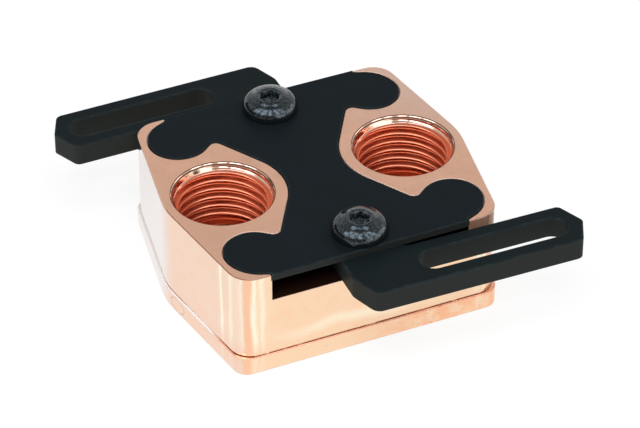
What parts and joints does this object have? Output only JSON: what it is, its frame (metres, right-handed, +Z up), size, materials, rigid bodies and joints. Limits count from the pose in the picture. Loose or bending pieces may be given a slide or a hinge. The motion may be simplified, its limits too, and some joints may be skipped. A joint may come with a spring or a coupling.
{
  "type": "liquid cooling cold plate",
  "caption": "Small copper water block with two threaded top ports, a let-in black top plate and slotted mounting arms that swivel on their screws.",
  "frame": {"origin": "centre of the cold face, the flat copper underside that touches the chip", "axes": "+Z up out of the ports, +X along the front edge towards the free end of the front arm, -Y towards the front"},
  "size_m": [0.0552, 0.052, 0.0174],
  "materials": {
    "block_copper": "machined copper, fine matte on top and bright on the sides",
    "base_copper": "bright machined copper",
    "braze_filler": "dull filler metal",
    "plate_black": "satin black coating on steel",
    "arm_black": "satin black coating on steel",
    "screw_black": "glossy black oxide on steel"
  },
  "bodies": {
    "block": {"body_block": "block_copper", "base_plate": "base_copper", "braze_seam": "braze_filler", "top_plate": "plate_black", "front_screw": "screw_black", "back_screw": "screw_black"},
    "front_arm_body": {"front_arm": "arm_black"},
    "back_arm_body": {"back_arm": "arm_black"}
  },
  "joints": [
    {"name": "front_arm_swivel", "type": "hinge", "parent": "block", "child": "front_arm_body", "pos_m": [0, -0.01437, 0.01265], "axis": [0, 0, 1], "range_deg": [-88, 1.7]},
    {"name": "back_arm_swivel", "type": "hinge", "parent": "block", "child": "back_arm_body", "pos_m": [0, 0.01437, 0.01265], "axis": [0, 0, 1], "range_deg": [-90, 0.1]}
  ]
}
